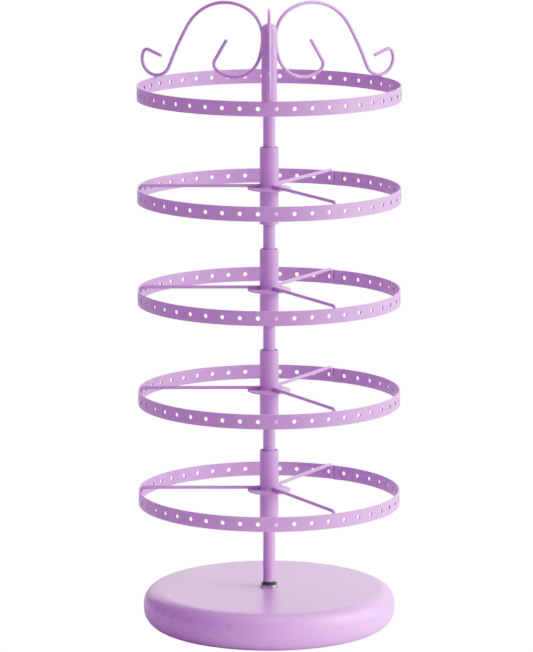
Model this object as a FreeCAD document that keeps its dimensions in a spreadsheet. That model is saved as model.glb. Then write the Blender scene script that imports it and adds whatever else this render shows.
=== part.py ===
import FreeCAD, Part
import math
import os
import re
import Sketcher

# Revolving earring holder: five hoops of punched strip on a pole of plugged tubes, which turns
# on a spindle in a rounded, weighted base. Tiers are numbered from the top. Millimetres, +Z up,
# origin at the centre of the face that the pad stands on, front of the stand towards -Y.

TIERS = 5
LOWER_TIERS = range(2, TIERS + 1)
HOOK_HOLES = 46
FLOOR_SCREWS = 3

# Where the wires stand round the pole, in degrees from +X. The side scrolls are welded a little
# behind the middle of the tube, on the side that is given here.
SPOKE_ANGLES = {"left": 180, "front": 300, "back": 60}
SCROLL_ANGLES = {"left": 151.8, "right": 30.4, "front": 270}
SCROLL_SIDES = {"left": -1, "right": 1, "front": 0}

# The hoops are turned so that a hook hole comes this far past the front. The top one laps in front,
# between two holes, and the others lap beside the back spoke.
FIRST_HOLE_TURN = 3
TOP_LAP_ANGLE = 272

# Each scroll is one wire of tangent arcs that leaves the tube both ways. An arc is its radius, as
# a share of the span from the tube to the hoop, and its turn in degrees, positive to the left.
SCROLL_ARCH_SHARES = [(0.252, -64), (0.435, -84.5), (2.35, -9.5)]
SCROLL_FOOT_SHARES = [(0.134, 182), (0.04, 86.5)]
SCROLL_OUTER_TIP_SHARE = 0.131
SCROLL_CURL_SHARES = [(0.548, 17), (0.261, 110.5), (0.058, 84.5)]
SCROLL_INNER_TIP_SHARE = 0.208

# The most of the base's depth that its two rounds may take.
TOP_ROUND_SHARE = 0.45
BOTTOM_ROUND_SHARE = 0.5

SIZES = {
    # Tiers, by the top edges of their hoops
    "tier_pitch": 58.4,
    "lowest_tier": 80.0,
    # Hoop strip, its hook holes and its lapped end
    "hoop_radius": 75.0,
    "strip_thickness": 0.8,
    "strip_height": 8.4,
    "hook_hole_radius": 1.2,
    "hook_hole_drop": 4.2,
    "lap_length": 4.7,
    "lap_gap": 0.4,
    # Spoke wires, which lie on the hub plate and turn down inside the hoop
    "spoke_radius": 1.0,
    "spoke_rise": 0.8,
    "spoke_bend": 2.4,
    "spoke_leg": 7.6,
    # Hub plates and sleeves
    "hub_plate_radius": 12.4,
    "hub_plate_thickness": 1.0,
    "sleeve_radius": 5.4,
    "sleeve_wall": 0.8,
    "sleeve_rise": 23.0,
    "sleeve_drop": 21.0,
    "collar_length": 14.0,
    "collar_recess": 4.0,
    # Pole tubes and the wider top tube
    "pole_radius": 3.5,
    "pole_wall": 0.8,
    "top_tube_radius": 4.45,
    "top_tube_drop": 15.5,
    "top_tube_above_weld": 4.2,
    "top_tube_lap": 14.0,
    "cap_stem": 8.0,
    "scroll_radius": 1.0,
    "scroll_set_back": 1.66,
    # Base shell, with its rim rolled under
    "base_radius": 72.4,
    "base_height": 22.2,
    "base_lift": 0.4,
    "base_wall": 1.2,
    "base_top_round": 9.0,
    "base_bottom_round": 10.0,
    # Weight, floor plate and pad inside the rim
    "ballast_inset": 9.4,
    "ballast_thickness": 6.0,
    "floor_plate_thickness": 1.4,
    "pad_inset": 4.2,
    "pad_thickness": 1.4,
    "post_radius": 4.0,
    "post_circle": 40.0,
    "screw_radius": 1.5,
    "screw_head_radius": 2.9,
    "screw_length": 8.0,
    # Spindle and what the rack runs on
    "spindle_radius": 2.0,
    "spindle_rise": 46.0,
    "spindle_tip": 0.6,
    "spindle_flange_radius": 5.2,
    "spindle_flange_thickness": 1.5,
    "stud_radius": 2.5,
    "stud_end": 1.5,
    "nut_width": 8.0,
    "nut_height": 4.0,
    "washer_radius": 6.0,
    "washer_thickness": 1.0,
    "thrust_radius": 4.6,
    "thrust_thickness": 0.8,
    "bush_flange_thickness": 1.0,
    "bush_length": 9.0,
    # Clearances, and how far a cut runs past what it cuts
    "weld_gap": 0.03,
    "slip_gap": 0.05,
    "running_gap": 0.05,
    "thrust_gap": 0.1,
    "floor_gap": 0.2,
    "overrun": 2.0,
}

UP = FreeCAD.Vector(0, 0, 1)

doc = FreeCAD.newDocument("earring_holder")
sheet = doc.addObject("Spreadsheet::Sheet", "Sizes")
for row, (alias, millimetres) in enumerate(SIZES.items(), start=1):
    sheet.set(f"A{row}", alias)
    sheet.set(f"B{row}", str(millimetres))
    sheet.setAlias(f"B{row}", alias)
doc.recompute()

SIZE_NAME = re.compile(r"\b(" + "|".join(SIZES) + r")\b")
pieces = []


def formula(text):
    """The text with each size written as its cell in the sheet."""
    return SIZE_NAME.sub(r"Sizes.\1", text)


def number(text):
    return float(sheet.evalExpression(formula(text)))


def bind(item, prop, text):
    item.setExpression(prop, formula(text))


# Bodies, sketches and features

def new_body(label, height="0", turn=0):
    """An empty body for one piece, lifted along the pole and turned about it."""
    body = doc.addObject("PartDesign::Body", label)
    body.Label = label
    body.Placement = FreeCAD.Placement(FreeCAD.Vector(), FreeCAD.Rotation(UP, turn))
    bind(body, "Placement.Base.z", height)
    pieces.append(body)
    return body


def origin_feature(body, role):
    return next(item for item in body.Origin.OriginFeatures if item.Role == role)


def sketch_on(body, role):
    sketch = body.newObject("Sketcher::SketchObject", body.Label + "_sketch")
    sketch.AttachmentSupport = [(origin_feature(body, role), "")]
    sketch.MapMode = "FlatFace"
    return sketch


def add_rule(sketch, text, kind, *places):
    """A dimension in a sketch, tied to its formula."""
    rule = sketch.addConstraint(Sketcher.Constraint(kind, *places, number(text)))
    bind(sketch, f"Constraints[{rule}]", text)


def fix_point(sketch, item, end, x, y):
    """Tie a point of a sketch to two formulas; the formula 0 puts it on the axis."""
    for kind, axis, text in (("DistanceX", -2, x), ("DistanceY", -1, y)):
        if text == "0":
            sketch.addConstraint(Sketcher.Constraint("PointOnObject", item, end, axis))
        else:
            add_rule(sketch, text, kind, -1, 1, item, end)


def circle(sketch, radius, x="0", y="0"):
    centre = FreeCAD.Vector(number(x), number(y), 0)
    item = sketch.addGeometry(Part.Circle(centre, UP, number(radius)))
    fix_point(sketch, item, 3, x, y)
    add_rule(sketch, radius, "Radius", item)


def arc_between(start, end, radius):
    """The short arc from start to end, and which of its ends is the start."""
    chord = end - start
    left = FreeCAD.Vector(-chord.y, chord.x, 0).normalize()
    reach = math.sqrt(max(radius ** 2 - (chord.Length / 2) ** 2, 0))
    centre = start + chord / 2 + left * math.copysign(reach, radius)
    first, last = (start, end) if radius > 0 else (end, start)
    angles = [math.atan2(point.y - centre.y, point.x - centre.x) for point in (first, last)]
    arc = Part.ArcOfCircle(Part.Circle(centre, UP, abs(radius)), *angles)
    return arc, (1, 2) if radius > 0 else (2, 1)


def outline(sketch, corners):
    """A closed outline of (x, y) formulas. A third formula is the radius of the arc to the next
    corner, with a minus sign in front where that arc turns to the right."""
    points = [FreeCAD.Vector(number(corner[0]), number(corner[1]), 0) for corner in corners]
    drawn = []
    for place, corner in enumerate(corners):
        start, end = points[place], points[(place + 1) % len(points)]
        if len(corner) == 3:
            curve, ends = arc_between(start, end, number(corner[2]))
        else:
            curve, ends = Part.LineSegment(start, end), (1, 2)
        drawn.append((sketch.addGeometry(curve), ends))
    for place, corner in enumerate(corners):
        item, ends = drawn[place]
        before, before_ends = drawn[place - 1]
        sketch.addConstraint(Sketcher.Constraint("Coincident", before, before_ends[1], item, ends[0]))
        fix_point(sketch, item, ends[0], corner[0], corner[1])
        if len(corner) == 3:
            add_rule(sketch, corner[2].lstrip("-"), "Radius", item)


def feature(body, kind, sketch, **bindings):
    """A feature on a sketch, with its lengths tied to formulas."""
    item = body.newObject("PartDesign::" + kind, f"{body.Label}_{kind}")
    item.Profile = sketch
    for prop, text in bindings.items():
        bind(item, prop, text)
    body.Tip = item
    return item


def turned(body, corners, kind="Revolution", axis_x="0"):
    """An outline in the XZ plane, turned fully about the pole or a line parallel to it."""
    sketch = sketch_on(body, "XZ_Plane")
    outline(sketch, corners)
    axis = "V_Axis"
    if axis_x != "0":
        ends = [FreeCAD.Vector(number(axis_x), side, 0) for side in (0, 1)]
        line = sketch.addGeometry(Part.LineSegment(*ends), True)
        sketch.addConstraint(Sketcher.Constraint("Vertical", line))
        fix_point(sketch, line, 1, axis_x, "0")
        axis = "Axis0"
    item = feature(body, kind, sketch)
    item.ReferenceAxis = (sketch, [axis])
    item.Angle = 360
    return item


def pattern(body, original, count):
    """Repeat a feature evenly round the pole."""
    item = body.newObject("PartDesign::PolarPattern", body.Label + "_pattern")
    item.Originals = [original]
    item.Axis = (origin_feature(body, "Z_Axis"), [""])
    item.Angle = 360
    item.Occurrences = count
    body.Tip = item


def disc(label, bottom, height, outer, *bores):
    """A round plate, washer or tube about the pole."""
    body = new_body(label, bottom)
    sketch = sketch_on(body, "XY_Plane")
    for radius in (outer, *bores):
        circle(sketch, radius)
    feature(body, "Pad", sketch, Length=height)
    return body


# Levels and radii that several pieces share

def tier_top(tier):
    """Top edge of a tier's hoop."""
    return f"(lowest_tier + {TIERS - tier} * tier_pitch)"


def hub_top(tier):
    """Face of the hub plate, which the spokes lie on."""
    return f"({tier_top(tier)} + spoke_rise - spoke_radius - weld_gap)"


def sleeve_top(tier):
    return f"({hub_top(tier)} + sleeve_rise)"


def sleeve_foot(tier):
    return f"({hub_top(tier)} - sleeve_drop)"


def pole_joint(tier):
    """Where one pole tube stands on the next, inside a tier's sleeve."""
    return f"({sleeve_top(tier)} - collar_recess - collar_length)"


STRIP_INSIDE = "(hoop_radius - strip_thickness)"
SLEEVE_BORE = "(sleeve_radius - sleeve_wall)"
POLE_BORE = "(pole_radius - pole_wall)"
SOCKET_BORE = "(pole_radius + slip_gap)"
BASE_DEPTH = "(base_height - base_lift)"
TOP_ROUND = f"min(base_top_round; {TOP_ROUND_SHARE} * {BASE_DEPTH})"
BOTTOM_ROUND = f"min(base_bottom_round; {BOTTOM_ROUND_SHARE} * {BASE_DEPTH})"
RIM_RADIUS = f"(base_radius - {BOTTOM_ROUND})"
CROWN_RADIUS = f"(base_radius - {TOP_ROUND})"
FLOOR_PLATE_RADIUS = f"({RIM_RADIUS} - floor_gap)"
FLOOR_TOP = "(pad_thickness + floor_plate_thickness)"
BALLAST_FOOT = "(base_height - base_wall - ballast_thickness)"
FLANGE_TOP = "(base_height + spindle_flange_thickness)"
BUSH_FOOT = f"({FLANGE_TOP} + thrust_thickness + thrust_gap)"
POLE_FOOT = f"({BUSH_FOOT} + bush_flange_thickness)"
SPINDLE_TOP = "(base_height + spindle_rise)"
SPINDLE_BORE = "(spindle_radius + running_gap)"
SCROLL_WELD_RADIUS = "(top_tube_radius + weld_gap + scroll_radius)"
SCROLL_SPAN = f"(hoop_radius - strip_thickness / 2 - {SCROLL_WELD_RADIUS})"


# Hoops

def hoop(tier, lap_angle):
    """A rolled strip with hook holes all round, lapped on the inside beside the lap angle."""
    body = new_body(f"hoop_{tier}", tier_top(tier), FIRST_HOLE_TURN)
    strip = sketch_on(body, "XY_Plane")
    circle(strip, "hoop_radius")
    circle(strip, STRIP_INSIDE)
    feature(body, "Pad", strip, Length="strip_height").Reversed = True
    lap = sketch_on(body, "XY_Plane")
    degrees = "180 / pi / hoop_radius"
    near = f"({lap_angle - FIRST_HOLE_TURN} - (spoke_radius + lap_gap) * {degrees})"
    far = f"({near} - lap_length * {degrees})"
    outer = "(hoop_radius - strip_thickness / 2)"
    inner = "(hoop_radius - 2 * strip_thickness)"
    outline(lap, [
        (f"{outer} * cos({far})", f"{outer} * sin({far})", outer),
        (f"{outer} * cos({near})", f"{outer} * sin({near})"),
        (f"{inner} * cos({near})", f"{inner} * sin({near})", "-" + inner),
        (f"{inner} * cos({far})", f"{inner} * sin({far})"),
    ])
    feature(body, "Pad", lap, Length="strip_height").Reversed = True
    hole = sketch_on(body, "XZ_Plane")
    bind(hole, "AttachmentOffset.Base.z", "hoop_radius + overrun")
    circle(hole, "hook_hole_radius", "0", "-hook_hole_drop")
    depth = "2 * (strip_thickness + overrun)"
    pattern(body, feature(body, "Pocket", hole, Length=depth), HOOK_HOLES)


# Lower tiers: sleeve, collars, hub plate and spokes

def spoke(name, tier, angle):
    """A wire from the sleeve to the hoop, with its end bent down along the strip."""
    height = f"{tier_top(tier)} + spoke_rise"
    body = new_body(f"spoke_{name}_{tier}", height, angle)
    root = "sleeve_radius + weld_gap"
    reach = f"({STRIP_INSIDE} - weld_gap - spoke_radius)"
    path = sketch_on(body, "XZ_Plane")
    corners = [(root, "0"), (f"{reach} - spoke_bend", "0"), (reach, "-spoke_bend"), (reach, "-spoke_leg")]
    points = [FreeCAD.Vector(number(x), number(y), 0) for x, y in corners]
    bend, bend_ends = arc_between(points[1], points[2], -number("spoke_bend"))
    run = path.addGeometry(Part.LineSegment(points[0], points[1]))
    elbow = path.addGeometry(bend)
    leg = path.addGeometry(Part.LineSegment(points[2], points[3]))
    path.addConstraint(Sketcher.Constraint("Coincident", run, 2, elbow, bend_ends[0]))
    path.addConstraint(Sketcher.Constraint("Coincident", elbow, bend_ends[1], leg, 1))
    for item, end, corner in ((run, 1, 0), (run, 2, 1), (leg, 1, 2), (leg, 2, 3)):
        fix_point(path, item, end, *corners[corner])
    add_rule(path, "spoke_bend", "Radius", elbow)
    section = sketch_on(body, "YZ_Plane")
    bind(section, "AttachmentOffset.Base.z", root)
    circle(section, "spoke_radius")
    feature(body, "AdditivePipe", section).Spine = (path, [])


def lower_tier(tier):
    plate_foot = f"{hub_top(tier)} - hub_plate_thickness"
    disc(f"sleeve_{tier}", sleeve_foot(tier), "sleeve_rise + sleeve_drop", "sleeve_radius", SLEEVE_BORE)
    disc(f"hub_plate_{tier}", plate_foot, "hub_plate_thickness", "hub_plate_radius", "sleeve_radius + weld_gap")
    collar = f"{SLEEVE_BORE} - weld_gap"
    disc(f"socket_collar_{tier}", pole_joint(tier), "collar_length", collar, SOCKET_BORE)
    disc(f"neck_collar_{tier}", sleeve_foot(tier), "collar_length", collar, SOCKET_BORE)
    for name, angle in SPOKE_ANGLES.items():
        spoke(name, tier, angle)


# Pole tubes, top tube and its cap

def pole_tubes():
    top = f"({tier_top(1)} - top_tube_drop + top_tube_lap)"
    for tier in range(1, TIERS + 1):
        foot = POLE_FOOT if tier == TIERS else pole_joint(tier + 1)
        disc(f"pole_tube_{tier}", foot, f"{top} - {foot}", "pole_radius", POLE_BORE)
        top = foot


def top_tube(shoulder):
    foot = f"({tier_top(1)} - top_tube_drop)"
    disc("top_tube", foot, f"{shoulder} - {foot}", "top_tube_radius", SOCKET_BORE)
    stem = f"{SOCKET_BORE} - weld_gap"
    turned(new_body("top_cap", shoulder), [
        ("0", "-cap_stem"),
        (stem, "-cap_stem"),
        (stem, "0"),
        ("top_tube_radius", "0", "top_tube_radius"),
        ("0", "top_tube_radius"),
    ])


# Scrolls

def arc_chain(heading, arcs, tip=0):
    """Edges of a wire in the XZ plane that leaves the origin at a heading, and its end point."""
    place = FreeCAD.Vector()
    edges = []
    for radius, turn in arcs:
        side = math.copysign(radius, turn)
        centre = place + FreeCAD.Vector(-math.sin(heading), 0, math.cos(heading)) * side
        stops = [place]
        for part in (0.5, 1):
            aim = heading + math.radians(turn) * part
            stops.append(centre + FreeCAD.Vector(math.sin(aim), 0, -math.cos(aim)) * side)
        edges.append(Part.Arc(*stops).toShape())
        place, heading = stops[-1], heading + math.radians(turn)
    if tip:
        end = place + FreeCAD.Vector(math.cos(heading), 0, math.sin(heading)) * tip
        edges.append(Part.makeLine(place, end))
    return edges, place


def scroll_scale_and_drop():
    """Scale that lands the foot on the hoop for a span of 1, and how far below the weld it lands."""
    heading = 90 + sum(turn for radius, turn in SCROLL_ARCH_SHARES)
    to_foot = SCROLL_ARCH_SHARES + [(SCROLL_FOOT_SHARES[0][0], -heading)]
    foot = arc_chain(math.radians(90), to_foot)[1]
    return 1 / foot.x, -foot.z / foot.x


def scroll_wire(scale):
    """The whole bent wire from its inner tip to its outer tip, with the weld at the origin."""
    def sized(arcs):
        return [(share * scale, turn) for share, turn in arcs]
    over = sized(SCROLL_ARCH_SHARES + SCROLL_FOOT_SHARES)
    under = sized(SCROLL_CURL_SHARES)
    outer = arc_chain(math.radians(90), over, SCROLL_OUTER_TIP_SHARE * scale)[0]
    inner = arc_chain(math.radians(-90), under, SCROLL_INNER_TIP_SHARE * scale)[0]
    return Part.Wire(Part.__sortEdges__(inner + outer))


def scrolls(weld_height, scale):
    wire = scroll_wire(scale * number(SCROLL_SPAN))
    edge = wire.OrderedEdges[0]
    start = edge.valueAt(edge.FirstParameter)
    aim = edge.tangentAt(edge.FirstParameter)
    section = Part.Wire(Part.makeCircle(number("scroll_radius"), start, aim))
    tube = wire.makePipeShell([section], True, False)
    for name, angle in SCROLL_ANGLES.items():
        aside = SCROLL_SIDES[name] * number("scroll_set_back")
        out = math.sqrt(number(SCROLL_WELD_RADIUS) ** 2 - aside ** 2)
        weld = FreeCAD.Vector(out, aside, number(weld_height))
        piece = doc.addObject("Part::Feature", "scroll_" + name)
        piece.Label = "scroll_" + name
        piece.Shape = tube
        turn = FreeCAD.Rotation(UP, angle)
        piece.Placement = FreeCAD.Placement(turn.multVec(weld), turn)
        pieces.append(piece)


# Base

def base_cover():
    """A spun shell with a rolled rim, open underneath, and a hole for the spindle's stud."""
    hole = "stud_radius + slip_gap"
    side = "base_radius - base_wall"
    lower = f"base_lift + {BOTTOM_ROUND}"
    upper = f"base_height - {TOP_ROUND}"
    turned(new_body("base_cover"), [
        (RIM_RADIUS, "base_lift", BOTTOM_ROUND),
        ("base_radius", lower),
        ("base_radius", upper, TOP_ROUND),
        (CROWN_RADIUS, "base_height"),
        (hole, "base_height"),
        (hole, "base_height - base_wall"),
        (CROWN_RADIUS, "base_height - base_wall", f"-({TOP_ROUND} - base_wall)"),
        (side, upper),
        (side, lower, f"-({BOTTOM_ROUND} - base_wall)"),
        (RIM_RADIUS, "base_lift + base_wall"),
    ])


def screw_outline(gap, tip):
    """Half a countersunk screw beside its own axis, head flush with the floor plate's foot."""
    edge = f"post_circle + screw_radius + {gap}"
    return [
        ("post_circle", "0"),
        (f"post_circle + screw_head_radius + {gap}", "0"),
        (edge, "floor_plate_thickness"),
        (edge, tip),
        ("post_circle", tip),
    ]


def base_inside():
    ballast = f"{CROWN_RADIUS} - ballast_inset"
    disc("ballast", BALLAST_FOOT, "ballast_thickness", ballast, "stud_radius + slip_gap")
    posts = new_body("floor_posts", FLOOR_TOP)
    section = sketch_on(posts, "XY_Plane")
    circle(section, "post_radius", "post_circle")
    circle(section, "screw_radius + weld_gap", "post_circle")
    post = feature(posts, "Pad", section, Length=f"{BALLAST_FOOT} - {FLOOR_TOP}")
    pattern(posts, post, FLOOR_SCREWS)
    screws = new_body("floor_screws", "pad_thickness")
    screw = turned(screws, screw_outline("0", "screw_length"), axis_x="post_circle")
    pattern(screws, screw, FLOOR_SCREWS)
    plate = disc("floor_plate", "pad_thickness", "floor_plate_thickness", FLOOR_PLATE_RADIUS)
    past = "floor_plate_thickness + overrun"
    hole = turned(plate, screw_outline("slip_gap", past), "Groove", "post_circle")
    pattern(plate, hole, FLOOR_SCREWS)
    disc("anti_slip_pad", "0", "pad_thickness", f"{FLOOR_PLATE_RADIUS} - pad_inset")


# Spindle and running parts

def spindle():
    washer_foot = f"({BALLAST_FOOT} - washer_thickness)"
    nut_foot = f"({washer_foot} - nut_height)"
    stud_foot = f"{nut_foot} - stud_end"
    turned(new_body("spindle"), [
        ("0", stud_foot),
        ("stud_radius", stud_foot),
        ("stud_radius", "base_height"),
        ("spindle_flange_radius", "base_height"),
        ("spindle_flange_radius", FLANGE_TOP),
        ("spindle_radius", FLANGE_TOP),
        ("spindle_radius", f"{SPINDLE_TOP} - spindle_tip"),
        ("spindle_radius - spindle_tip", SPINDLE_TOP),
        ("0", SPINDLE_TOP),
    ])
    stud_bore = "stud_radius + weld_gap"
    disc("spindle_washer", washer_foot, "washer_thickness", "washer_radius", stud_bore)
    nut = new_body("spindle_nut", nut_foot)
    hexagon = sketch_on(nut, "XY_Plane")
    corner = "nut_width / 2 / cos(30)"
    turns = range(30, 390, 60)
    outline(hexagon, [(f"{corner} * cos({turn})", f"{corner} * sin({turn})") for turn in turns])
    circle(hexagon, stud_bore)
    feature(nut, "Pad", hexagon, Length="nut_height")


def running_parts():
    disc("thrust_washer", FLANGE_TOP, "thrust_thickness", "thrust_radius", SPINDLE_BORE)
    barrel = f"{POLE_BORE} - weld_gap"
    turned(new_body("lower_bush"), [
        (SPINDLE_BORE, BUSH_FOOT),
        ("pole_radius", BUSH_FOOT),
        ("pole_radius", POLE_FOOT),
        (barrel, POLE_FOOT),
        (barrel, f"{POLE_FOOT} + bush_length"),
        (SPINDLE_BORE, f"{POLE_FOOT} + bush_length"),
    ])
    top = f"{SPINDLE_TOP} - 2 * spindle_tip"
    disc("upper_bush", f"{top} - bush_length", "bush_length", barrel, SPINDLE_BORE)


scale, drop = scroll_scale_and_drop()
weld_height = f"({tier_top(1)} + weld_gap + scroll_radius + {drop} * {SCROLL_SPAN})"
hoop(1, TOP_LAP_ANGLE)
for tier in LOWER_TIERS:
    hoop(tier, SPOKE_ANGLES["back"])
    lower_tier(tier)
pole_tubes()
top_tube(f"({weld_height} + top_tube_above_weld)")
scrolls(weld_height, scale)
base_cover()
base_inside()
spindle()
running_parts()
doc.recompute()

for item in doc.Objects:
    if "Invalid" in item.State or "Error" in item.State:
        raise RuntimeError(f"{item.Label} failed: {item.State}")
for piece in pieces:
    if piece.Shape.isNull() or not piece.Shape.isValid() or piece.Shape.Volume <= 0:
        raise RuntimeError(f"{piece.Label} has no sound shape")

os.makedirs("parts", exist_ok=True)
for piece in pieces:
    piece.Shape.exportStep(f"parts/{piece.Label}.step")
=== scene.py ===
import bmesh
import bpy
import math
import random
from mathutils import Matrix, Vector


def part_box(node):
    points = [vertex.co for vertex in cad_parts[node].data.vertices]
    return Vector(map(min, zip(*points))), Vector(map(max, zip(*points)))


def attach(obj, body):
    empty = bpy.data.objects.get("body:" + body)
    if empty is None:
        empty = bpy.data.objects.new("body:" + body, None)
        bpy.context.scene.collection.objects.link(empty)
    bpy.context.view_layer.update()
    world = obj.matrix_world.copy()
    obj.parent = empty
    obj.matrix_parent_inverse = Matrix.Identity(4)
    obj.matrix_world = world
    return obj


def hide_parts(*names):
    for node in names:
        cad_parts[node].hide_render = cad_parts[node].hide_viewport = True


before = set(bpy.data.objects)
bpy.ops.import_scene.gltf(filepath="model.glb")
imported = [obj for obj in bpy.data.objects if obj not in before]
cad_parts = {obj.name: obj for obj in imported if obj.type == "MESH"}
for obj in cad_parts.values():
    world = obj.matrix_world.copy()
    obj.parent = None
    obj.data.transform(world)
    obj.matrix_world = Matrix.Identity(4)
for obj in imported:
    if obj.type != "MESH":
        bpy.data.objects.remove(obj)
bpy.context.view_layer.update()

# Revolving earring holder in lilac enamel: five punched hoops on a pole of plugged tubes, wire scrolls
# at the top, and a rounded base. Pieces are drawn in millimetres and brought to metres when finished.
# Angles are in degrees.

scene = bpy.context.scene

MM = 0.001
MERGE = 0.002
SHARP_ANGLE = 40
TIERS = range(1, 6)
LOWER_TIERS = range(2, 6)

# Hoops
HOOP_RADIUS = 75.0
STRIP_THICKNESS = 0.8
STRIP_HEIGHT = 8.4
HOOK_HOLES = 46
HOOK_HOLE_RADIUS = 1.2
HOOK_HOLE_DROP = 4.2
HOOK_HOLE_SIDES = 16
FIRST_HOLE_ANGLE = 273
STRIP_EDGE_ROUND = 0.16
HOOK_HOLE_ROUND = 0.07
HOLE_WALL_LEAN = 0.5
LAP_LENGTH = 4.7
LAP_STEPS = (4, 2)
LAP_ANGLES = {1: 269.14, 2: 57.14, 3: 57.14, 4: 57.14, 5: 57.14}

# Wires
WIRE_RADIUS = 1.0
WIRE_SIDES = 16
WIRE_END_ROUND = 0.3
WIRE_END_STEPS = 3
SPOKE_ANGLES = {"left": 180, "front": 300, "back": 60}
SPOKE_ROOT = 5.43
SPOKE_REACH = 73.17
SPOKE_BEND = 2.4
SPOKE_BEND_STEPS = 8
SPOKE_LEG = 7.6
SPOKE_RISE = 0.8
SCROLL_ANGLES = {"left": 151.8, "right": 30.4, "front": 270}
SCROLL_SET_BACKS = {"left": -1.66, "right": 1.66, "front": 0}
SCROLL_WELD_RADIUS = 5.48
SCROLL_WELD_HEIGHT = 340.04
# Each bend of a scroll is its radius and how far it turns
SCROLL_ARCH = [(17.37, -64), (29.99, -84.5), (162.02, -9.5)]
SCROLL_FOOT = [(9.24, 182), (2.76, 86.5)]
SCROLL_OUTER_TIP = 9.03
SCROLL_CURL = [(37.78, 17), (17.99, 110.5), (4.0, 84.5)]
SCROLL_INNER_TIP = 14.34
SCROLL_FOOT_RADIUS = 74.6
SCROLL_STEP_ANGLE = 5
SCROLL_LEAST_STEPS = 4

# Weld beads: their half sizes outwards, sideways and upwards, and where along a joint they lie
BEAD_SEED = 11
BEAD_UNEVENNESS = 0.15
BEAD_FACETS = 3
PLATE_BEAD = (1.25, 0.62, 0.42)
PLATE_BEADS_OUT = (7.4, 9.3, 11.0)
PLATE_BEAD_ASIDE = 0.95
PLATE_BEAD_DROP = 0.85
LEG_BEAD = (0.42, 0.6, 1.2)
LEG_BEADS_DOWN = (3.4, 5.2, 6.8)
LEG_BEAD_ASIDE = 0.8
LEG_BEAD_OUT = 0.8
ROOT_BEAD = (0.7, 1.05, 0.6)
ROOT_BEAD_OUT = 0.1
ROOT_BEAD_RISE = 0.55
TUBE_BEAD = (0.55, 0.5, 1.15)
TUBE_BEADS_UP = (-2.6, -0.9, 0.9, 2.6)
TUBE_BEAD_OUT = 0.25
CURL_BEAD = (0.46, 1.1, 0.42)
CURL_BEAD_RISE = 0.28
SCROLL_BEAD_ASIDE = 0.85

# Tubes, hub plates and cap
TUBE_STEPS = 48
TUBE_EDGE_ROUND = 0.22
POLE_RADIUS = 3.5
TUBE_WALL = 0.8
SLEEVE_RADIUS = 5.4
TOP_TUBE_RADIUS = 4.45
HUB_PLATE_RADIUS = 12.4
HUB_FILLET = 0.9
HUB_FILLET_STEPS = 5
CAP_SEAM = 0.12
CAP_STEPS = 10

# Base
BASE_STEPS = 144
BASE_RADIUS = 72.4
BASE_WALL = 1.2
BASE_TOP_ROUND = 9.0
BASE_BOTTOM_ROUND = 10.0
BASE_STUD_HOLE = 2.55
BASE_OUTSIDE_STEPS = 14
BASE_INSIDE_STEPS = 8

# Spindle, its washer and bush, and the pad
SPINDLE_RADIUS = 2.0
SPINDLE_TIP = 0.6
STUD_RADIUS = 2.5
RUNNING_GAP = 0.05
BUSH_FLANGE = 1.0
BUSH_BARREL_RADIUS = 2.67
FOOT_EDGE_ROUND = 0.15
PAD_EDGE_ROUND = 0.4
PAD_EDGE_STEPS = 3

# What the face layer "edge" marks: enamel thin on rounded edges, even enamel, or painted shade on the
# hook-hole walls
THIN = 1.0
EVEN = 0.0
# Hook-hole walls marked for painted shade
HOLE_SHADE = -1.0


# Bmesh tools

def new_shape():
    """An empty mesh that can mark where enamel lies thin, on rounded edges, and the hook-hole walls that
    get painted shade.
    """
    bm = bmesh.new()
    bm.faces.layers.float.new("edge")
    return bm


def only(geom, kind):
    return [item for item in geom if isinstance(item, kind)]


def edges_of(verts):
    """The edges at these vertices, each once and in a steady order."""
    return list(dict.fromkeys(edge for vert in verts for edge in vert.link_edges))


def close_shape(bm):
    bmesh.ops.remove_doubles(bm, verts=bm.verts, dist=MERGE)
    bmesh.ops.recalc_face_normals(bm, faces=bm.faces)


def soften(bm, width, segments=2, near=None, mark=THIN):
    """Rounds the sharp edges, or those of them that near picks, and marks the new faces."""
    sharp = [e for e in bm.edges if e.is_manifold and e.calc_face_angle() > math.radians(SHARP_ANGLE)]
    if near:
        sharp = [e for e in sharp if near(e)]
    made = bmesh.ops.bevel(
        bm, geom=sharp, offset=width, offset_type="OFFSET", segments=segments, profile=0.5,
        affect="EDGES", material=-1, clamp_overlap=True)
    edge = bm.faces.layers.float["edge"]
    for face in made["faces"]:
        face[edge] = mark


def turn(bm, degrees):
    round_pole = Matrix.Rotation(math.radians(degrees), 3, "Z")
    bmesh.ops.rotate(bm, cent=(0, 0, 0), matrix=round_pole, verts=bm.verts)


def lift(bm, height):
    bmesh.ops.translate(bm, vec=(0, 0, height), verts=bm.verts)


def add_piece(name, bm, body, slot, material, *nodes):
    """Makes the shape an object that rides on a body and stands for its nodes."""
    bmesh.ops.scale(bm, vec=(MM, MM, MM), verts=bm.verts)
    mesh = bpy.data.meshes.new(name)
    bm.to_mesh(mesh)
    bm.free()
    mesh.shade_smooth()
    mesh.materials.append(material)
    obj = bpy.data.objects.new(name, mesh)
    scene.collection.objects.link(obj)
    obj.modifiers.new("even_shading", "WEIGHTED_NORMAL")
    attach(obj, body)
    if nodes:
        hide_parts(*nodes)
    return obj


def foot_and_top(node):
    """Heights of a node's lowest and highest points."""
    low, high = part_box(node)
    return low.z / MM, high.z / MM


def reach(node):
    """Radius of a round node."""
    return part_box(node)[1].x / MM


# Turned pieces: an outline beside the axis, spun once round

def line_to(bm, vert, radius, height):
    end = bmesh.ops.extrude_vert_indiv(bm, verts=[vert])["verts"][0]
    end.co = (radius, 0, height)
    return end


def arc_to(bm, vert, radius, height, degrees, steps):
    """Carries an outline round a centre, anticlockwise as seen from the front."""
    swept = bmesh.ops.spin(
        bm, geom=[vert], cent=(radius, 0, height), axis=(0, -1, 0),
        angle=math.radians(degrees), steps=steps)
    return only(swept["geom_last"], bmesh.types.BMVert)[0]


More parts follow.
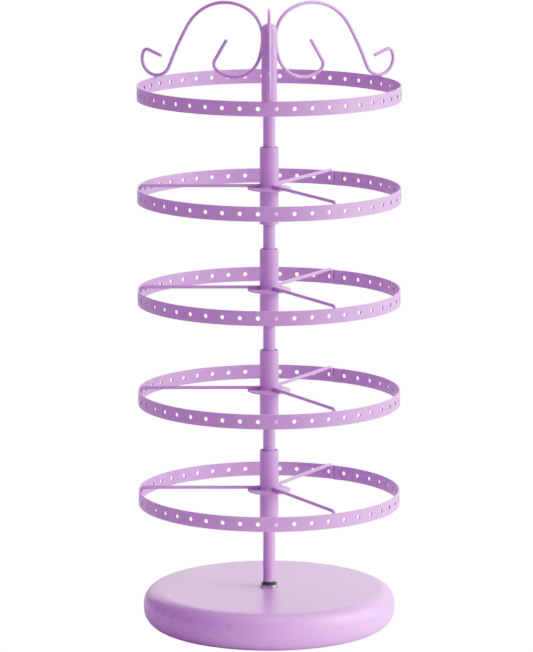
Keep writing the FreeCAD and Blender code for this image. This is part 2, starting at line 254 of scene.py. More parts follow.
def spin_round(bm, steps=TUBE_STEPS):
    bmesh.ops.spin(
        bm, geom=bm.verts[:] + bm.edges[:], cent=(0, 0, 0), axis=(0, 0, 1),
        angle=math.tau, steps=steps, use_merge=True)
    close_shape(bm)


def turned(corners, steps=TUBE_STEPS):
    """A piece whose section has straight sides, from the radius and height of each corner."""
    bm = new_shape()
    radius, height = corners[0]
    vert = bm.verts.new((radius, 0, height))
    for radius, height in corners[1:]:
        vert = line_to(bm, vert, radius, height)
    spin_round(bm, steps)
    return bm


def turned_ring(bore, radius, foot, top):
    """A tube or washer."""
    return turned([(bore, foot), (radius, foot), (radius, top), (bore, top), (bore, foot)])


# Wires: a ring of edges carried along straight runs and arcs

def wire_ring(bm, place, aim):
    facing = Vector(aim).to_track_quat("Z", "Y").to_matrix().to_4x4()
    made = bmesh.ops.create_circle(
        bm, cap_ends=False, segments=WIRE_SIDES, radius=WIRE_RADIUS,
        matrix=Matrix.Translation(place) @ facing)
    return edges_of(made["verts"])


def wire_run(bm, ring, step):
    made = bmesh.ops.extrude_edge_only(bm, edges=ring)["geom"]
    verts = only(made, bmesh.types.BMVert)
    bmesh.ops.translate(bm, vec=step, verts=verts)
    return [e for e in only(made, bmesh.types.BMEdge) if e.verts[0] in verts and e.verts[1] in verts]


def wire_arc(bm, ring, centre, degrees, steps):
    """Carries the ring round a centre in the XZ plane, positive from +X towards +Z."""
    made = bmesh.ops.spin(
        bm, geom=ring, cent=centre, axis=(0, -1, 0), angle=math.radians(degrees), steps=steps)
    return only(made["geom_last"], bmesh.types.BMEdge)


def close_wire(bm):
    bmesh.ops.remove_doubles(bm, verts=bm.verts, dist=MERGE)
    bmesh.ops.holes_fill(bm, edges=[e for e in bm.edges if e.is_boundary], sides=0)
    bmesh.ops.recalc_face_normals(bm, faces=bm.faces)
    soften(bm, WIRE_END_ROUND, WIRE_END_STEPS)


# Node groups that the finishes share

MIX_COLOUR_INPUTS = (6, 7)
MIX_COLOUR_OUTPUT = 2
GRAIN_SHARE = 0.3
SLOW_DRIFT_SHARE = 0.6
QUICK_DRIFT_SHARE = 0.4


def new_group(name, inputs, outputs):
    group = bpy.data.node_groups.new(name, "ShaderNodeTree")
    for label, kind, default in inputs:
        socket = group.interface.new_socket(label, in_out="INPUT", socket_type=kind)
        socket.default_value = default
    for label, kind in outputs:
        group.interface.new_socket(label, in_out="OUTPUT", socket_type=kind)
    return group, group.nodes.new("NodeGroupInput"), group.nodes.new("NodeGroupOutput")


def feed(tree, value, socket):
    """Links a socket to another node's output, or sets it to a plain number or colour."""
    if isinstance(value, bpy.types.NodeSocket):
        tree.links.new(value, socket)
    else:
        socket.default_value = value


def noise(tree, scale, detail=2.0, roughness=0.5):
    """A noise over the piece's own coordinates."""
    place = tree.nodes.new("ShaderNodeTexCoord")
    cloud = tree.nodes.new("ShaderNodeTexNoise")
    cloud.inputs["Detail"].default_value = detail
    cloud.inputs["Roughness"].default_value = roughness
    tree.links.new(place.outputs["Object"], cloud.inputs["Vector"])
    feed(tree, scale, cloud.inputs["Scale"])
    return cloud.outputs["Fac"]


def ranged(tree, value, from_min, from_max, to_min=0.0, to_max=1.0):
    """A value stretched from one range to another."""
    node = tree.nodes.new("ShaderNodeMapRange")
    node.inputs["From Min"].default_value = from_min
    node.inputs["From Max"].default_value = from_max
    tree.links.new(value, node.inputs["Value"])
    feed(tree, to_min, node.inputs["To Min"])
    feed(tree, to_max, node.inputs["To Max"])
    return node.outputs["Result"]


def sums(tree, kind, first, second):
    """Two values added or multiplied."""
    node = tree.nodes.new("ShaderNodeMath")
    node.operation = kind
    for value, socket in zip((first, second), node.inputs):
        feed(tree, value, socket)
    return node.outputs["Value"]


def blend(tree, mask, first, second):
    """Colour that goes from first to second as the mask rises."""
    node = tree.nodes.new("ShaderNodeMix")
    node.data_type = "RGBA"
    tree.links.new(mask, node.inputs["Factor"])
    for colour, number in zip((first, second), MIX_COLOUR_INPUTS):
        feed(tree, colour, node.inputs[number])
    return node.outputs[MIX_COLOUR_OUTPUT]


def sprayed_skin():
    """Orange peel of sprayed enamel, with the fine grain on it."""
    group, given, out = new_group(
        "sprayed_skin", [("Peel", "NodeSocketFloat", 400.0), ("Grain", "NodeSocketFloat", 1600.0)],
        [("Height", "NodeSocketFloat")])
    peel = noise(group, given.outputs["Peel"], detail=1.0)
    grain = noise(group, given.outputs["Grain"])
    height = sums(group, "ADD", peel, sums(group, "MULTIPLY", grain, GRAIN_SHARE))
    group.links.new(height, out.inputs["Height"])
    return group


def coat_drift():
    """Slow changes in how thick the enamel lies: its colour and its gloss."""
    group, given, out = new_group(
        "coat_drift",
        [("Full", "NodeSocketColor", (0.35, 0.13, 0.45, 1)),
         ("Thin", "NodeSocketColor", (0.4, 0.2, 0.5, 1)),
         ("Glossy", "NodeSocketFloat", 0.2), ("Dull", "NodeSocketFloat", 0.3)],
        [("Color", "NodeSocketColor"), ("Roughness", "NodeSocketFloat")])
    slow = ranged(group, noise(group, 22.0, detail=3.0), 0.3, 0.7)
    quick = ranged(group, noise(group, 140.0, detail=3.0, roughness=0.6), 0.35, 0.7)
    slow_part = sums(group, "MULTIPLY", slow, SLOW_DRIFT_SHARE)
    quick_part = sums(group, "MULTIPLY", quick, QUICK_DRIFT_SHARE)
    mixed = sums(group, "ADD", slow_part, quick_part)
    colour = blend(group, mixed, given.outputs["Full"], given.outputs["Thin"])
    group.links.new(colour, out.inputs["Color"])
    gloss = ranged(group, mixed, 0.0, 1.0, given.outputs["Glossy"], given.outputs["Dull"])
    group.links.new(gloss, out.inputs["Roughness"])
    return group


def thin_edges_and_hole_shade():
    """Where the enamel has drawn back from a rounded edge, in broken lengths, and painted shade on the
    walls of the hook holes.
    """
    group, given, out = new_group(
        "thin_edges_and_hole_shade", [("Amount", "NodeSocketFloat", 0.6)],
        [("Mask", "NodeSocketFloat"), ("Hole_shade", "NodeSocketFloat")])
    mark = group.nodes.new("ShaderNodeAttribute")
    mark.attribute_name = "edge"
    broken = ranged(group, noise(group, 260.0, detail=3.0, roughness=0.6), 0.4, 0.62, to_min=0.35)
    lengths = sums(group, "MULTIPLY", mark.outputs["Fac"], broken)
    group.links.new(sums(group, "MULTIPLY", lengths, given.outputs["Amount"]), out.inputs["Mask"])
    # Mask of the painted shade on the hook-hole walls
    group.links.new(ranged(group, mark.outputs["Fac"], EVEN, HOLE_SHADE), out.inputs["Hole_shade"])
    return group


def settled_dust():
    """A film on faces that look up, thicker in patches."""
    group, given, out = new_group(
        "settled_dust", [("Amount", "NodeSocketFloat", 0.1)], [("Mask", "NodeSocketFloat")])
    facing = group.nodes.new("ShaderNodeNewGeometry")
    split = group.nodes.new("ShaderNodeSeparateXYZ")
    group.links.new(facing.outputs["Normal"], split.inputs["Vector"])
    upward = ranged(group, split.outputs["Z"], 0.5, 1.0)
    patches = ranged(group, noise(group, 90.0, detail=5.0, roughness=0.65), 0.35, 0.75, to_min=0.2)
    settled = sums(group, "MULTIPLY", upward, patches)
    group.links.new(sums(group, "MULTIPLY", settled, given.outputs["Amount"]), out.inputs["Mask"])
    return group


SPRAYED_SKIN = sprayed_skin()
COAT_DRIFT = coat_drift()
THIN_EDGES_AND_HOLE_SHADE = thin_edges_and_hole_shade()
SETTLED_DUST = settled_dust()


# Finishes

def new_finish(name):
    finish = bpy.data.materials.new(name)
    finish.use_nodes = True
    tree = finish.node_tree
    return finish, tree, tree.nodes["Principled BSDF"]


def use_group(tree, group, **values):
    node = tree.nodes.new("ShaderNodeGroup")
    node.node_tree = group
    for label, value in values.items():
        node.inputs[label].default_value = value
    return node.outputs


def raise_skin(tree, shader, height, depth):
    """Bumps a surface, as deep as is given in metres."""
    bump = tree.nodes.new("ShaderNodeBump")
    bump.inputs["Distance"].default_value = depth
    bump.inputs["Strength"].default_value = 1.0
    tree.links.new(height, bump.inputs["Height"])
    tree.links.new(bump.outputs["Normal"], shader.inputs["Normal"])


ENAMEL_FULL = (0.505, 0.280, 0.595, 1)
ENAMEL_THIN = (0.535, 0.310, 0.625, 1)
ENAMEL_EDGE = (0.66, 0.49, 0.72, 1)
# Painted shade: the dark colour laid on the hook-hole walls
ENAMEL_HOLE_SHADE = (0.15, 0.06, 0.19, 1)
ENAMEL_IOR = 1.45
HOUSE_DUST = (0.62, 0.58, 0.62, 1)
DUST_DULLING = 0.3
GRAIN_PER_PEEL = 4
STEEL_GREY = (0.50, 0.50, 0.51, 1)
STEEL_PALE = (0.63, 0.63, 0.62, 1)
NYLON_DARK = (0.030, 0.026, 0.034, 1)
NYLON_SCUFFED = (0.062, 0.054, 0.066, 1)
IRON_PIT = (0.05, 0.05, 0.052, 1)
IRON_SKIN = (0.16, 0.155, 0.15, 1)
IRON_RUST = (0.17, 0.075, 0.035, 1)
FOAM_BLACK = (0.022, 0.022, 0.023, 1)
FOAM_DUSTY = (0.075, 0.072, 0.07, 1)


def lilac_enamel(name, glossy, dull, peel, depth, wear, dust):
    """Sprayed lilac enamel: how glossy it is, how coarse its peel, and how worn and dusty, with painted
    shade darkening the hook-hole walls.
    """
    finish, tree, shader = new_finish(name)
    coat = use_group(tree, COAT_DRIFT, Full=ENAMEL_FULL, Thin=ENAMEL_THIN, Glossy=glossy, Dull=dull)
    edges = use_group(tree, THIN_EDGES_AND_HOLE_SHADE, Amount=wear)
    film = use_group(tree, SETTLED_DUST, Amount=dust)
    colour = blend(tree, edges["Mask"], coat["Color"], ENAMEL_EDGE)
    # Painted shade: the hook-hole walls are darkened here
    colour = blend(tree, edges["Hole_shade"], colour, ENAMEL_HOLE_SHADE)
    colour = blend(tree, film["Mask"], colour, HOUSE_DUST)
    tree.links.new(colour, shader.inputs["Base Color"])
    rough = sums(tree, "ADD", coat["Roughness"], sums(tree, "MULTIPLY", film["Mask"], DUST_DULLING))
    tree.links.new(rough, shader.inputs["Roughness"])
    shader.inputs["IOR"].default_value = ENAMEL_IOR
    skin = use_group(tree, SPRAYED_SKIN, Peel=peel, Grain=peel * GRAIN_PER_PEEL)
    raise_skin(tree, shader, skin["Height"], depth)
    return finish


def turned_steel():
    """Zinc-plated steel with the lathe's fine rings."""
    finish, tree, shader = new_finish("turned_steel")
    place = tree.nodes.new("ShaderNodeTexCoord")
    rings = tree.nodes.new("ShaderNodeTexWave")
    rings.wave_type = "RINGS"
    rings.rings_direction = "Z"
    rings.inputs["Scale"].default_value = 900.0
    rings.inputs["Distortion"].default_value = 1.5
    tree.links.new(place.outputs["Object"], rings.inputs["Vector"])
    cloud = ranged(tree, noise(tree, 180.0, detail=4.0), 0.3, 0.7)
    tree.links.new(blend(tree, cloud, STEEL_GREY, STEEL_PALE), shader.inputs["Base Color"])
    tree.links.new(ranged(tree, cloud, 0.0, 1.0, 0.24, 0.4), shader.inputs["Roughness"])
    shader.inputs["Metallic"].default_value = 1.0
    raise_skin(tree, shader, rings.outputs["Fac"], depth=0.000012)
    return finish


def moulded_nylon():
    """Dark nylon of the collars, washer and bushes, faintly clouded and scuffed."""
    finish, tree, shader = new_finish("moulded_nylon")
    cloud = ranged(tree, noise(tree, 240.0, detail=4.0), 0.3, 0.7)
    tree.links.new(blend(tree, cloud, NYLON_DARK, NYLON_SCUFFED), shader.inputs["Base Color"])
    tree.links.new(ranged(tree, cloud, 0.0, 1.0, 0.42, 0.6), shader.inputs["Roughness"])
    raise_skin(tree, shader, noise(tree, 1500.0), depth=0.00002)
    return finish


def cast_iron():
    """Rough grey casting of the weight, with a little rust in its pits."""
    finish, tree, shader = new_finish("cast_iron")
    pits = noise(tree, 420.0, detail=6.0, roughness=0.65)
    rust = ranged(tree, noise(tree, 60.0, detail=5.0, roughness=0.7), 0.55, 0.75)
    grey = blend(tree, pits, IRON_PIT, IRON_SKIN)
    tree.links.new(blend(tree, rust, grey, IRON_RUST), shader.inputs["Base Color"])
    tree.links.new(ranged(tree, pits, 0.2, 0.8, 0.5, 0.8), shader.inputs["Roughness"])
    shader.inputs["Metallic"].default_value = 0.6
    raise_skin(tree, shader, pits, depth=0.00025)
    return finish


def foam_rubber():
    """Black foam of the pad: open cells and grey dust pressed into them."""
    finish, tree, shader = new_finish("foam_rubber")
    place = tree.nodes.new("ShaderNodeTexCoord")
    cells = tree.nodes.new("ShaderNodeTexVoronoi")
    cells.inputs["Scale"].default_value = 900.0
    tree.links.new(place.outputs["Object"], cells.inputs["Vector"])
    dusty = ranged(tree, noise(tree, 70.0, detail=5.0, roughness=0.65), 0.4, 0.75)
    tree.links.new(blend(tree, dusty, FOAM_BLACK, FOAM_DUSTY), shader.inputs["Base Color"])
    tree.links.new(ranged(tree, dusty, 0.0, 1.0, 0.8, 0.95), shader.inputs["Roughness"])
    raise_skin(tree, shader, cells.outputs["Distance"], depth=0.0002)
    return finish


HOOP_ENAMEL = lilac_enamel(
    "hoop_enamel", glossy=0.28, dull=0.38, peel=420.0, depth=0.00003, wear=0.55, dust=0.10)
WIRE_ENAMEL = lilac_enamel(
    "wire_enamel", glossy=0.26, dull=0.36, peel=300.0, depth=0.00001, wear=0.50, dust=0.08)
TUBE_ENAMEL = lilac_enamel(
    "tube_enamel", glossy=0.26, dull=0.36, peel=420.0, depth=0.00003, wear=0.55, dust=0.08)
BASE_ENAMEL = lilac_enamel(
    "base_enamel", glossy=0.26, dull=0.32, peel=300.0, depth=0.000012, wear=0.40, dust=0.25)
TURNED_STEEL = turned_steel()
MOULDED_NYLON = moulded_nylon()
CAST_IRON = cast_iron()
FOAM_RUBBER = foam_rubber()


# Hoops

def punched_patch(bm):
    """A patch of flat strip round one hook hole."""
    half_pitch = math.pi * HOOP_RADIUS / HOOK_HOLES
    hole = bmesh.ops.create_circle(
        bm, cap_ends=False, segments=HOOK_HOLE_SIDES, radius=HOOK_HOLE_RADIUS,
        matrix=Matrix.Rotation(math.radians(90), 4, "X"))
    made = bmesh.ops.extrude_edge_only(bm, edges=edges_of(hole["verts"]))["geom"]
    for vert in only(made, bmesh.types.BMVert):
        square = vert.co / max(abs(vert.co.x), abs(vert.co.z))
        vert.co.x = square.x * half_pitch
        vert.co.z = square.z * (HOOK_HOLE_DROP if square.z > 0 else STRIP_HEIGHT - HOOK_HOLE_DROP)
    bmesh.ops.translate(bm, vec=(0, 0, -HOOK_HOLE_DROP), verts=bm.verts)


def roll(bm, radius):
    """Bends flat strip round the pole, its middle at +X."""
    for vert in bm.verts:
        angle = vert.co.x / HOOP_RADIUS
        vert.co = (radius * math.cos(angle), radius * math.sin(angle), vert.co.z)


def thicken(bm):
    """Gives rolled strip its thickness, towards the pole."""
    close_shape(bm)
    face = bm.faces[:][0]
    if face.normal.dot(face.calc_center_median()) < 0:
        bmesh.ops.reverse_faces(bm, faces=bm.faces)
    bmesh.ops.solidify(bm, geom=bm.faces[:], thickness=STRIP_THICKNESS)
    bmesh.ops.recalc_face_normals(bm, faces=bm.faces)


def mark_hole_walls(bm):
    """Marks the walls of the hook holes, which get painted shade."""
    edge = bm.faces.layers.float["edge"]
    for face in bm.faces:
        middle = face.calc_center_median()
        across = abs(face.normal.dot(Vector((middle.x, middle.y, 0)).normalized()))
        if across < HOLE_WALL_LEAN and abs(middle.z + HOOK_HOLE_DROP) < HOOK_HOLE_RADIUS:
            # Painted shade on the hole walls
            face[edge] = HOLE_SHADE


def at_rim(edge):
    return all(min(abs(vert.co.z), abs(vert.co.z + STRIP_HEIGHT)) < MERGE for vert in edge.verts)


def hoop(tier):
    bm = new_shape()
    punched_patch(bm)
    roll(bm, HOOP_RADIUS)
    bmesh.ops.spin(
        bm, geom=bm.verts[:] + bm.edges[:] + bm.faces[:], cent=(0, 0, 0), axis=(0, 0, 1),
        angle=math.tau * (HOOK_HOLES - 1) / HOOK_HOLES, steps=HOOK_HOLES - 1, use_duplicate=True)
    thicken(bm)
    mark_hole_walls(bm)
    soften(bm, STRIP_EDGE_ROUND, near=at_rim)
    soften(bm, HOOK_HOLE_ROUND, segments=1, mark=EVEN)
    turn(bm, FIRST_HOLE_ANGLE)
    lift(bm, foot_and_top(f"hoop_{tier}")[1])
    add_piece(f"punched_hoop_{tier}", bm, "rack", "hoop_paint", HOOP_ENAMEL, f"hoop_{tier}")


def hoop_lap(tier):
    """The end of the strip, lapped behind its start and spot welded."""
    bm = new_shape()
    half = Matrix.Diagonal((LAP_LENGTH / 2, STRIP_HEIGHT / 2, 1, 1))
    upright = Matrix.Translation((0, 0, -STRIP_HEIGHT / 2)) @ Matrix.Rotation(math.radians(90), 4, "X")
    along, across = LAP_STEPS
    bmesh.ops.create_grid(bm, x_segments=along, y_segments=across, size=1, matrix=upright @ half)
    roll(bm, HOOP_RADIUS - STRIP_THICKNESS + MERGE)
    thicken(bm)
    soften(bm, STRIP_EDGE_ROUND)
    turn(bm, LAP_ANGLES[tier])
    lift(bm, foot_and_top(f"hoop_{tier}")[1])
    add_piece(f"hoop_lap_{tier}", bm, "rack", "hoop_paint", HOOP_ENAMEL)


# Spokes and scrolls

def spoke(name, tier):
    bm = new_shape()
    ring = wire_ring(bm, (SPOKE_ROOT, 0, 0), (1, 0, 0))
    ring = wire_run(bm, ring, (SPOKE_REACH - SPOKE_BEND - SPOKE_ROOT, 0, 0))
    ring = wire_arc(bm, ring, (SPOKE_REACH - SPOKE_BEND, 0, -SPOKE_BEND), -90, SPOKE_BEND_STEPS)
    wire_run(bm, ring, (0, 0, SPOKE_BEND - SPOKE_LEG))
    close_wire(bm)
    turn(bm, SPOKE_ANGLES[name])
    lift(bm, foot_and_top(f"hoop_{tier}")[1] + SPOKE_RISE)
    node = f"spoke_{name}_{tier}"
    add_piece("bent_" + node, bm, "rack", "wire_paint", WIRE_ENAMEL, node)


def bend_scroll(bm, heading, bends, tip):
    """Carries a ring from the weld through tangent bends, then straight to the tip."""
    place = Vector((0, 0, 0))
    angle = math.radians(heading)
    ring = wire_ring(bm, place, (math.cos(angle), 0, math.sin(angle)))
    for radius, degrees in bends:
        side = math.copysign(radius, degrees)
        centre = place + Vector((-math.sin(angle), 0, math.cos(angle))) * side
        steps = max(SCROLL_LEAST_STEPS, round(abs(degrees) / SCROLL_STEP_ANGLE))
        ring = wire_arc(bm, ring, centre, degrees, steps)
        angle += math.radians(degrees)
        place = centre + Vector((math.sin(angle), 0, -math.cos(angle))) * side
    wire_run(bm, ring, Vector((math.cos(angle), 0, math.sin(angle))) * tip)


def scroll_weld(name):
    """Where a scroll meets the tube, before it is turned round the pole."""
    aside = SCROLL_SET_BACKS[name]
    return math.sqrt(SCROLL_WELD_RADIUS ** 2 - aside ** 2), aside, SCROLL_WELD_HEIGHT


def scroll(name):
    bm = new_shape()
    bend_scroll(bm, 90, SCROLL_ARCH + SCROLL_FOOT, SCROLL_OUTER_TIP)
    bend_scroll(bm, -90, SCROLL_CURL, SCROLL_INNER_TIP)
    close_wire(bm)
    bmesh.ops.translate(bm, vec=scroll_weld(name), verts=bm.verts)
    turn(bm, SCROLL_ANGLES[name])
    add_piece(f"wire_scroll_{name}", bm, "rack", "wire_paint", WIRE_ENAMEL, "scroll_" + name)


# Pole

def pole_tube(tier):
    node = f"pole_tube_{tier}"
    bm = turned_ring(POLE_RADIUS - TUBE_WALL, POLE_RADIUS, *foot_and_top(node))
    soften(bm, TUBE_EDGE_ROUND)
    add_piece("drawn_" + node, bm, "rack", "tube_paint", TUBE_ENAMEL, node)


def at_plate_edge(edge):
    return edge.verts[0].co.to_2d().length > HUB_PLATE_RADIUS - MERGE


def hub(tier):
    """A sleeve of the pole and the plate welded round it."""
    sleeve = turned_ring(SLEEVE_RADIUS - TUBE_WALL, SLEEVE_RADIUS, *foot_and_top(f"sleeve_{tier}"))
    soften(sleeve, TUBE_EDGE_ROUND)
    add_piece(f"hub_sleeve_{tier}", sleeve, "rack", "tube_paint", TUBE_ENAMEL, f"sleeve_{tier}")
    foot, top = foot_and_top(f"hub_plate_{tier}")
    plate = new_shape()
    inside = SLEEVE_RADIUS - TUBE_WALL / 2
    vert = plate.verts.new((inside, 0, foot))
    vert = line_to(plate, vert, HUB_PLATE_RADIUS, foot)
    vert = line_to(plate, vert, HUB_PLATE_RADIUS, top)
    vert = line_to(plate, vert, SLEEVE_RADIUS + HUB_FILLET, top)
    vert = arc_to(plate, vert, SLEEVE_RADIUS + HUB_FILLET, top + HUB_FILLET, -90, HUB_FILLET_STEPS)
    vert = line_to(plate, vert, inside, top + HUB_FILLET)
    line_to(plate, vert, inside, foot)
    spin_round(plate)
    soften(plate, TUBE_EDGE_ROUND, near=at_plate_edge)
    add_piece(f"welded_hub_plate_{tier}", plate, "rack", "tube_paint", TUBE_ENAMEL, f"hub_plate_{tier}")


def top_tube():
    """The wide tube between the scrolls, and the cap pushed into it."""
    foot, top = foot_and_top("top_tube")
    tube = turned_ring(POLE_RADIUS, TOP_TUBE_RADIUS, foot, top)
    soften(tube, TUBE_EDGE_ROUND)
    add_piece("wide_top_tube", tube, "rack", "tube_paint", TUBE_ENAMEL, "top_tube")
    stem = foot_and_top("top_cap")[0]
    cap = new_shape()
    vert = cap.verts.new((0, 0, stem))
    vert = line_to(cap, vert, POLE_RADIUS, stem)
    vert = line_to(cap, vert, POLE_RADIUS, top)
    vert = line_to(cap, vert, TOP_TUBE_RADIUS - CAP_SEAM, top)
    vert = line_to(cap, vert, TOP_TUBE_RADIUS, top + CAP_SEAM)
    start = math.degrees(math.asin(CAP_SEAM / TOP_TUBE_RADIUS))
    arc_to(cap, vert, 0, top, 90 - start, CAP_STEPS)
    spin_round(cap)
    add_piece("domed_top_cap", cap, "rack", "tube_paint", TUBE_ENAMEL, "top_cap")


# Weld beads, painted over

BEADS = random.Random(BEAD_SEED)


def bead(bm, place, size, angle):
    """A lump of weld metal, no two quite alike."""
    uneven = [length * BEADS.uniform(1 - BEAD_UNEVENNESS, 1 + BEAD_UNEVENNESS) for length in size]
    round_pole = Matrix.Rotation(math.radians(angle), 4, "Z")
    shape = round_pole @ Matrix.Translation(place) @ Matrix.Diagonal((*uneven, 1))
    bmesh.ops.create_icosphere(bm, subdivisions=BEAD_FACETS, radius=1, matrix=shape)


def tier_welds(tier):
    """Beads along the spokes: on the hub plate, at the sleeve and down the inside of the hoop."""
    bm = new_shape()
    wire = foot_and_top(f"hoop_{tier}")[1] + SPOKE_RISE
    for angle in SPOKE_ANGLES.values():
        for side in (-1, 1):
            for out in PLATE_BEADS_OUT:
                bead(bm, (out, side * PLATE_BEAD_ASIDE, wire - PLATE_BEAD_DROP), PLATE_BEAD, angle)
            for down in LEG_BEADS_DOWN:
                bead(bm, (SPOKE_REACH + LEG_BEAD_OUT, side * LEG_BEAD_ASIDE, wire - down), LEG_BEAD, angle)
        bead(bm, (SPOKE_ROOT + ROOT_BEAD_OUT, 0, wire + ROOT_BEAD_RISE), ROOT_BEAD, angle)
    bmesh.ops.recalc_face_normals(bm, faces=bm.faces)
    add_piece(f"spoke_welds_{tier}", bm, "rack", "wire_paint", WIRE_ENAMEL)


def scroll_welds():
    """Beads where the scrolls stand on the top hoop and where they lie along the tube."""
    bm = new_shape()
    top = foot_and_top("hoop_1")[1]
    for name, angle in SCROLL_ANGLES.items():
        out, aside, height = scroll_weld(name)
        swing = math.degrees(math.atan2(aside, out))
        for side in (-1, 1):
            on_hoop = (SCROLL_FOOT_RADIUS, aside + side * SCROLL_BEAD_ASIDE, top + CURL_BEAD_RISE)
            bead(bm, on_hoop, CURL_BEAD, angle)
            for up in TUBE_BEADS_UP:
                on_tube = (TOP_TUBE_RADIUS + TUBE_BEAD_OUT, side * SCROLL_BEAD_ASIDE, height + up)
                bead(bm, on_tube, TUBE_BEAD, angle + swing)
    bmesh.ops.recalc_face_normals(bm, faces=bm.faces)
    add_piece("scroll_welds", bm, "rack", "wire_paint", WIRE_ENAMEL)


# Base and what the rack turns on

def base_cover():
    """A spun shell with a rolled rim, open underneath."""
    foot, top = foot_and_top("base_cover")
    lower = foot + BASE_BOTTOM_ROUND
    upper = top - BASE_TOP_ROUND
    rim = BASE_RADIUS - BASE_BOTTOM_ROUND
    crown = BASE_RADIUS - BASE_TOP_ROUND
    bm = new_shape()
    vert = bm.verts.new((rim, 0, foot))
    vert = arc_to(bm, vert, rim, lower, 90, BASE_OUTSIDE_STEPS)
    vert = line_to(bm, vert, BASE_RADIUS, upper)
    vert = arc_to(bm, vert, crown, upper, 90, BASE_OUTSIDE_STEPS)
    vert = line_to(bm, vert, BASE_STUD_HOLE, top)
    vert = line_to(bm, vert, BASE_STUD_HOLE, top - BASE_WALL)
    vert = line_to(bm, vert, crown, top - BASE_WALL)
    vert = arc_to(bm, vert, crown, upper, -90, BASE_INSIDE_STEPS)
    vert = line_to(bm, vert, BASE_RADIUS - BASE_WALL, lower)
    vert = arc_to(bm, vert, rim, lower, -90, BASE_INSIDE_STEPS)
    line_to(bm, vert, rim, foot)
    spin_round(bm, BASE_STEPS)
    soften(bm, TUBE_EDGE_ROUND)
    add_piece("spun_base", bm, "base", "base_paint", BASE_ENAMEL, "base_cover")


def spindle():
    """The stud through the base, the flange it is drawn up to, and the shank that the rack runs on."""
    foot, top = foot_and_top("spindle")
    seat = foot_and_top("base_cover")[1]
    flange = reach("spindle")
    shoulder = foot_and_top("thrust_washer")[0]
    bm = turned([
        (0, foot), (STUD_RADIUS, foot), (STUD_RADIUS, seat), (flange, seat), (flange, shoulder),
        (SPINDLE_RADIUS, shoulder), (SPINDLE_RADIUS, top - SPINDLE_TIP),
        (SPINDLE_RADIUS - SPINDLE_TIP, top), (0, top)])
    soften(bm, FOOT_EDGE_ROUND)
    add_piece("flanged_spindle", bm, "base", "bright_steel", TURNED_STEEL, "spindle")


def running_rings():
    """The thrust washer on the flange, and the bush that carries the pole on it."""
    bore = SPINDLE_RADIUS + RUNNING_GAP
    washer = turned_ring(bore, reach("thrust_washer"), *foot_and_top("thrust_washer"))
    soften(washer, FOOT_EDGE_ROUND)
    add_piece("nylon_thrust_washer", washer, "base", "dark_nylon", MOULDED_NYLON, "thrust_washer")
    foot, top = foot_and_top("lower_bush")
    flange_top = foot + BUSH_FLANGE
    bush = turned([
        (bore, foot), (POLE_RADIUS, foot), (POLE_RADIUS, flange_top), (BUSH_BARREL_RADIUS, flange_top),
        (BUSH_BARREL_RADIUS, top), (bore, top), (bore, foot)])
    soften(bush, FOOT_EDGE_ROUND)
    add_piece("flanged_bush", bush, "rack", "dark_nylon", MOULDED_NYLON, "lower_bush")


def foam_pad():
    """A disc cut from foam sheet, its edge rounded by the weight on it."""
    foot, top = foot_and_top("anti_slip_pad")
    rim = reach("anti_slip_pad")
    bm = turned([(0, foot), (rim, foot), (rim, top), (0, top)], BASE_STEPS)
    soften(bm, PAD_EDGE_ROUND, PAD_EDGE_STEPS)
    add_piece("foam_pad", bm, "base", "pad_rubber", FOAM_RUBBER, "anti_slip_pad")


for tier in TIERS:
    hoop(tier)
    hoop_lap(tier)
    pole_tube(tier)
for tier in LOWER_TIERS:
    hub(tier)
    for name in SPOKE_ANGLES:
        spoke(name, tier)
    tier_welds(tier)
for name in SCROLL_ANGLES:
    scroll(name)
scroll_welds()
top_tube()
base_cover()
spindle()
running_rings()
foam_pad()


# Finishes of the pieces that keep their own solids

KEPT_FINISHES = {
    "dark_nylon": MOULDED_NYLON,
    "bright_steel": TURNED_STEEL,
    "raw_iron": CAST_IRON,
    "pad_rubber": FOAM_RUBBER,
    "base_paint": BASE_ENAMEL,
    "tube_paint": TUBE_ENAMEL,
    "wire_paint": WIRE_ENAMEL,
    "hoop_paint": HOOP_ENAMEL,
}

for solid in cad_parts.values():
    for holder in solid.material_slots:
        holder.material = KEPT_FINISHES[holder.material.name.split(".")[0]]


# Floor, light and camera, in metres and watts

FLOOR_SIDE = 40.0
FLOOR_GLOW = 1.17
PAPER_GREY = (0.80, 0.80, 0.80, 1)
PAPER_PALE = (0.84, 0.84, 0.84, 1)
PAPER_ROUGHNESS = 0.9
WORLD_STRENGTH = 0.39
WORLD_COLOUR = (0.98, 0.53, 1.11, 1)
LAMP_COLOUR = (0.95, 1.035, 0.875)
FILM_WHITE = 1.15
FILM_CEILING = 1.3
FILM_SHOULDER = 1.55
FILM_TONES = (0.05, 0.1, 0.2, 0.35, 0.5, 0.7, 0.9, 1.05)
ALL_CHANNELS_CURVE = 3
SENSOR_WIDTH = 36
FAR_CLIP = 100
PHOTO_HEIGHT = 652
PHOTO_FOCAL_PIXELS = 4333
CAMERA_PLACE = (-0.00153, -2.4344, 0.6165)
CAMERA_DIP = 10.28
MIDDLE = Vector((0, 0, 0.18))
BASE_SIDE = Vector((0, 0, 0.012))


def seen_white(tree, lit, white, output):
    """Shows the camera plain white, and keeps the lit surface for everything else."""
    path = tree.nodes.new("ShaderNodeLightPath")
    either = tree.nodes.new("ShaderNodeMixShader")
    tree.links.new(path.outputs["Is Camera Ray"], either.inputs[0])
    tree.links.new(lit, either.inputs[1])
    tree.links.new(white, either.inputs[2])
    tree.links.new(either.outputs["Shader"], output.inputs["Surface"])


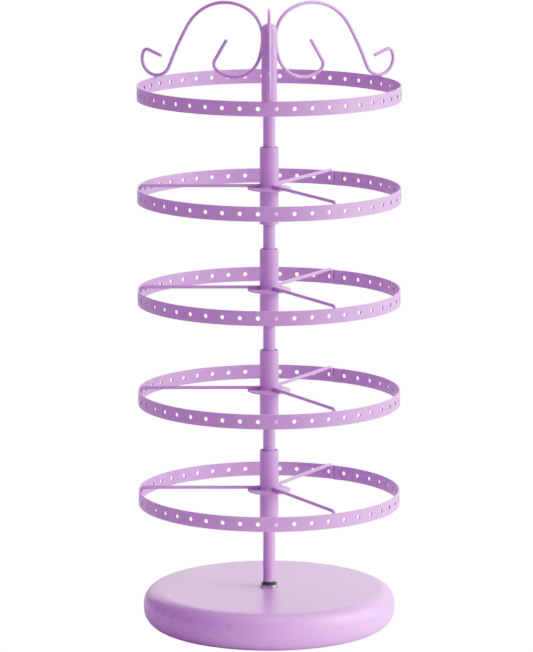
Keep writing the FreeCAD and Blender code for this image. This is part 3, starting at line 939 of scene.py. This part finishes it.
def white_floor():
    """Paper that lights the object as paper does, burnt out to white in the picture."""
    bm = bmesh.new()
    bmesh.ops.create_grid(bm, x_segments=1, y_segments=1, size=FLOOR_SIDE / 2)
    mesh = bpy.data.meshes.new("floor")
    bm.to_mesh(mesh)
    bm.free()
    paper, tree, shader = new_finish("white_paper")
    cloud = noise(tree, 3.0, detail=3.0)
    tree.links.new(blend(tree, cloud, PAPER_GREY, PAPER_PALE), shader.inputs["Base Color"])
    shader.inputs["Roughness"].default_value = PAPER_ROUGHNESS
    shader.inputs["Specular IOR Level"].default_value = 0.0
    glow = tree.nodes.new("ShaderNodeEmission")
    glow.inputs["Strength"].default_value = FLOOR_GLOW
    seen_white(tree, shader.outputs["BSDF"], glow.outputs["Emission"], tree.nodes["Material Output"])
    mesh.materials.append(paper)
    floor = bpy.data.objects.new("floor", mesh)
    scene.collection.objects.link(floor)


def soft_box(name, place, width, height, power, aim=MIDDLE, spread=180, mirrored=True):
    """A lit panel, out of the picture, that may show in the gloss."""
    light = bpy.data.lights.new(name, "AREA")
    light.shape = "RECTANGLE"
    light.size = width
    light.size_y = height
    light.energy = power
    light.color = LAMP_COLOUR
    light.spread = math.radians(spread)
    box = bpy.data.objects.new(name, light)
    box.location = place
    box.rotation_euler = (aim - Vector(place)).to_track_quat("-Z", "Y").to_euler()
    scene.collection.objects.link(box)
    box.visible_camera = False
    box.visible_glossy = mirrored


def studio():
    """Lilac light from all round, cool soft boxes, and white beyond the paper in the picture."""
    world = bpy.data.worlds.new("studio")
    world.use_nodes = True
    tree = world.node_tree
    room = tree.nodes["Background"]
    room.inputs["Color"].default_value = WORLD_COLOUR
    room.inputs["Strength"].default_value = WORLD_STRENGTH
    white = tree.nodes.new("ShaderNodeBackground")
    white.inputs["Color"].default_value = (1, 1, 1, 1)
    white.inputs["Strength"].default_value = FLOOR_GLOW
    seen_white(tree, room.outputs["Background"], white.outputs["Background"], tree.nodes["World Output"])
    scene.world = world
    soft_box("key_right", (1.9, -0.7, 0.8), width=1.8, height=1.6, power=13.0)
    soft_box("right_wall", (2.6, 0.1, 1.0), width=3.2, height=2.0, power=42.5)
    soft_box("high_right", (1.7, -0.3, 1.7), width=1.2, height=1.2, power=19.5)
    soft_box("back_wall", (0.3, 3.2, 1.3), width=4.5, height=2.2, power=38.0)
    soft_box("overhead", (0.2, -0.2, 2.2), width=1.6, height=1.6, power=6.2)
    soft_box(
        "base_strip", (0.42, -0.34, 0.02), width=0.4, height=0.02, power=0.064,
        aim=BASE_SIDE, spread=24, mirrored=False)


def photo_camera():
    """The photograph's viewpoint and framing."""
    lens = bpy.data.cameras.new("camera")
    lens.sensor_width = SENSOR_WIDTH
    lens.lens = PHOTO_FOCAL_PIXELS * lens.sensor_width / PHOTO_HEIGHT
    lens.clip_end = FAR_CLIP
    camera = bpy.data.objects.new("camera", lens)
    camera.location = CAMERA_PLACE
    camera.rotation_euler = (math.radians(90 - CAMERA_DIP), 0, 0)
    scene.collection.objects.link(camera)
    scene.camera = camera


def rolled_off(light):
    """How bright the film shows a light, short of white."""
    return light / (1 + light ** FILM_SHOULDER) ** (1 / FILM_SHOULDER)


def film():
    """Straight tones in the shadows, rolled off towards white, and clean white for the paper."""
    view = scene.view_settings
    view.view_transform = "Standard"
    view.use_curve_mapping = True
    response = view.curve_mapping
    response.white_level = (FILM_WHITE, FILM_WHITE, FILM_WHITE)
    tones = response.curves[ALL_CHANNELS_CURVE].points
    for light in FILM_TONES:
        tones.new(light / FILM_WHITE, rolled_off(light) / rolled_off(FILM_CEILING))
    response.update()


white_floor()
studio()
photo_camera()
film()
